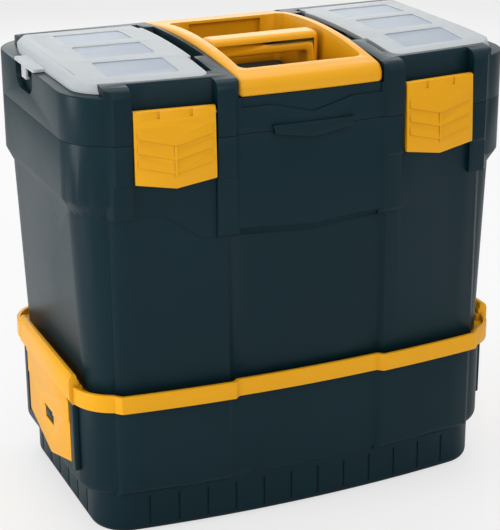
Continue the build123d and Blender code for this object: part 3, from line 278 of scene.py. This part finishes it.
# ---------------------------------------------------------------- organisers
# Pale natural polypropylene bins with fixed dividers, dropped into the lid under hinged covers.
# Each cover is milky natural polypropylene, thinner and clearer in its three windows.
bin_finish = moulded(
    "bin plastic", shade(186, 194, 200), shade(208, 214, 218), 0.46, 0.00005, (2.0, 2.0, 7.0),
    Specular_IOR_Level=0.35,
)
dress(["organiser_bin_left", "organiser_bin_right"], bin_finish)


def milky_cover(name, side):
    """Milky moulding that lets light through, clearer and smoother inside its windows."""
    finish = Finish(name, Specular_IOR_Level=0.22, Transmission_Weight=0.22, IOR=1.45)
    flow = finish.noise(16.0, 4.0, (1.0, 0.35, 1.0), (float(side), 2.0, 0.0))
    mist = finish.noise(5.0, 2.0)
    speck = finish.noise(420.0, 2.0)
    across = finish.node("ShaderNodeSeparateXYZ", {}, {0: finish.place}, "X") * float(side)
    along = finish.node("ShaderNodeSeparateXYZ", {}, {0: finish.place}, "Y")
    window_inner = 0.112
    window_outer = 0.177
    panes = 0.0
    for front, back, lean in ((-0.104, -0.061, 0.0963), (-0.044, -0.001, 0.0481), (0.016, 0.059, 0.0)):
        level = along - (across - window_inner) * lean
        pane = (level > front) * (level < back)
        panes = pane + panes
    panes = panes * (across > window_inner) * (across < window_outer)
    milk = finish.mix(flow * 0.6 + mist * 0.4, shade(200, 206, 210), shade(216, 221, 224))
    clear = finish.mix(flow, shade(170, 182, 196), shade(186, 196, 208))
    finish.feed("Base Color", finish.mix(panes, milk, clear))
    finish.feed("Roughness", 0.48 + flow * 0.12 - panes * 0.14 + speck * 0.04)
    finish.feed("Normal", finish.relief(speck, 0.00004, 0.3, finish.relief(flow, 0.0004, 0.2)))
    return finish.material


for side, name in ((-1, "left"), (1, "right")):
    cover = f"organiser_cover_{name}"
    softened(cover, cover, 0.0004, milky_cover(f"{name} cover plastic", side))

# ---------------------------------------------------------------- floor, light and camera
# A plain white floor under a pale sky. A narrow softbox on the left draws the bright line down the
# corners, and wide ones in front, above and behind fill in softly.
floor_size = 30.0
floor_glow = 0.65
sky_on_object = 0.42
sky_in_sight = 1.0
bpy.ops.object.select_all(action="DESELECT")
bpy.ops.mesh.primitive_plane_add(size=floor_size, location=(0, 0, 0))
floor = bpy.context.object
floor.name = "floor"
floor_white = shade(250, 250, 250)
floor_finish = Finish("floor white", Base_Color=floor_white, Roughness=0.9, Specular_IOR_Level=0.0)
floor.data.materials.append(floor_finish.material)
glow = floor_finish.tree.nodes.new("ShaderNodeEmission")
blend = floor_finish.tree.nodes.new("ShaderNodeMixShader")
floor_sight = floor_finish.node("ShaderNodeLightPath", {}, {}, "Is Camera Ray")
floor_finish.tree.links.new((floor_sight * floor_glow).socket, blend.inputs[0])
floor_finish.tree.links.new(floor_finish.shader.outputs[0], blend.inputs[1])
floor_finish.tree.links.new(glow.outputs[0], blend.inputs[2])
surface = floor_finish.tree.nodes["Material Output"].inputs["Surface"]
floor_finish.tree.links.new(blend.outputs[0], surface)

world = bpy.data.worlds.new("studio")
bpy.context.scene.world = world
world.use_nodes = True
sky = world.node_tree
seen = sky.nodes.new("ShaderNodeLightPath")
backdrop = sky.nodes["Background"]
backdrop.inputs["Color"].default_value = (1.0, 1.0, 1.0, 1.0)
level = sky.nodes.new("ShaderNodeMapRange")
level.inputs["To Min"].default_value = sky_on_object
level.inputs["To Max"].default_value = sky_in_sight
sight = sky.nodes.new("ShaderNodeMath")
sight.operation = "MAXIMUM"
sky.links.new(seen.outputs["Is Camera Ray"], sight.inputs[0])
sky.links.new(seen.outputs["Is Transmission Ray"], sight.inputs[1])
mirrored = sky.nodes.new("ShaderNodeMath")
mirrored.operation = "MAXIMUM"
sky.links.new(sight.outputs[0], mirrored.inputs[0])
sky.links.new(seen.outputs["Is Glossy Ray"], mirrored.inputs[1])
sky.links.new(mirrored.outputs[0], level.inputs["Value"])
sky.links.new(level.outputs[0], backdrop.inputs["Strength"])


def soft_light(name, place, width, height, power):
    lamp = bpy.data.lights.new(name, "AREA")
    lamp.shape = "RECTANGLE"
    lamp.size = width
    lamp.size_y = height
    lamp.energy = power
    holder = bpy.data.objects.new(name, lamp)
    holder.location = place
    aim = Vector((0.0, 0.0, 0.22)) - Vector(place)
    holder.rotation_euler = aim.to_track_quat("-Z", "Y").to_euler()
    bpy.context.collection.objects.link(holder)


soft_light("left softbox", (-2.0, 0.02, 0.42), 0.30, 0.8, 14.0)
soft_light("front softbox", (-0.7, -2.3, 1.5), 1.2, 1.2, 15.0)
soft_light("top softbox", (0.1, 0.3, 2.2), 1.6, 1.6, 19.0)
soft_light("back softbox", (0.5, 1.9, 0.95), 1.6, 0.8, 6.0)

camera_place = (-0.6241, -1.4254, 0.7821)
camera_yaw = radians(23.63)
camera_pitch = radians(20.37)
camera_roll = radians(-0.29)
camera = bpy.data.objects.new("camera", bpy.data.cameras.new("camera"))
bpy.context.collection.objects.link(camera)
camera.data.sensor_width = 36.0
camera.data.lens = 112.56
turn = Matrix.Rotation(-camera_yaw, 4, "Z") @ Matrix.Rotation(pi / 2 - camera_pitch, 4, "X")
camera.matrix_world = Matrix.Translation(camera_place) @ turn @ Matrix.Rotation(camera_roll, 4, "Z")
bpy.context.scene.camera = camera
bpy.context.scene.view_settings.view_transform = "Standard"

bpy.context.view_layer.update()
